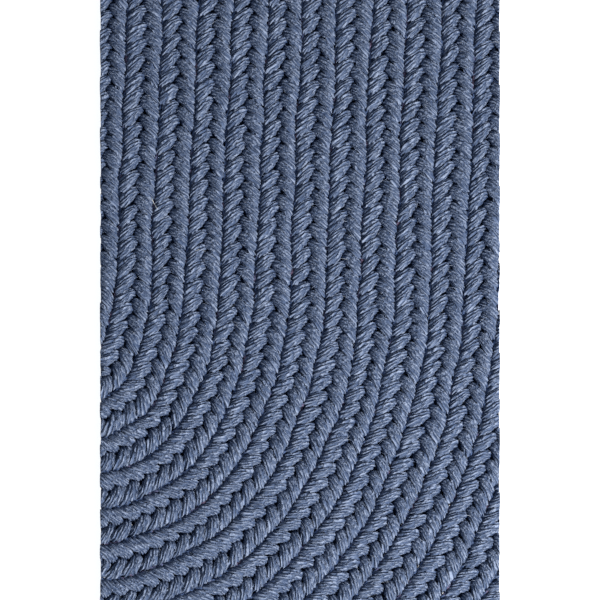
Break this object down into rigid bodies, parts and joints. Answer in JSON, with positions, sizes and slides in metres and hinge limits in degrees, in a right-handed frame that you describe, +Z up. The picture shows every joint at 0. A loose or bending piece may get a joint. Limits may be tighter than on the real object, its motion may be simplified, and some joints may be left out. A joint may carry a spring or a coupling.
{
  "type": "braided rug cut length",
  "caption": "Rectangular cut length of a flat braided rug: plaited rows lie side by side and curve round together, with plainly cut edges.",
  "frame": {"origin": "under the middle of the cut length, on the surface it lies on", "axes": "+Z up from the floor, +Y up the picture along the straight rows, +X to the right across the rows"},
  "size_m": [0.218, 0.344, 0.0095],
  "materials": {
    "yarn": "matt heather yarn, slate blue with lighter and darker fibres"
  },
  "bodies": {
    "root": {"braid_row_00": "yarn", "braid_row_01": "yarn", "braid_row_02": "yarn", "braid_row_03": "yarn", "braid_row_04": "yarn", "braid_row_05": "yarn", "braid_row_06": "yarn", "braid_row_07": "yarn", "braid_row_08": "yarn", "braid_row_09": "yarn", "braid_row_10": "yarn", "braid_row_11": "yarn", "braid_row_12": "yarn", "braid_row_13": "yarn", "braid_row_14": "yarn"}
  },
  "joints": []
}
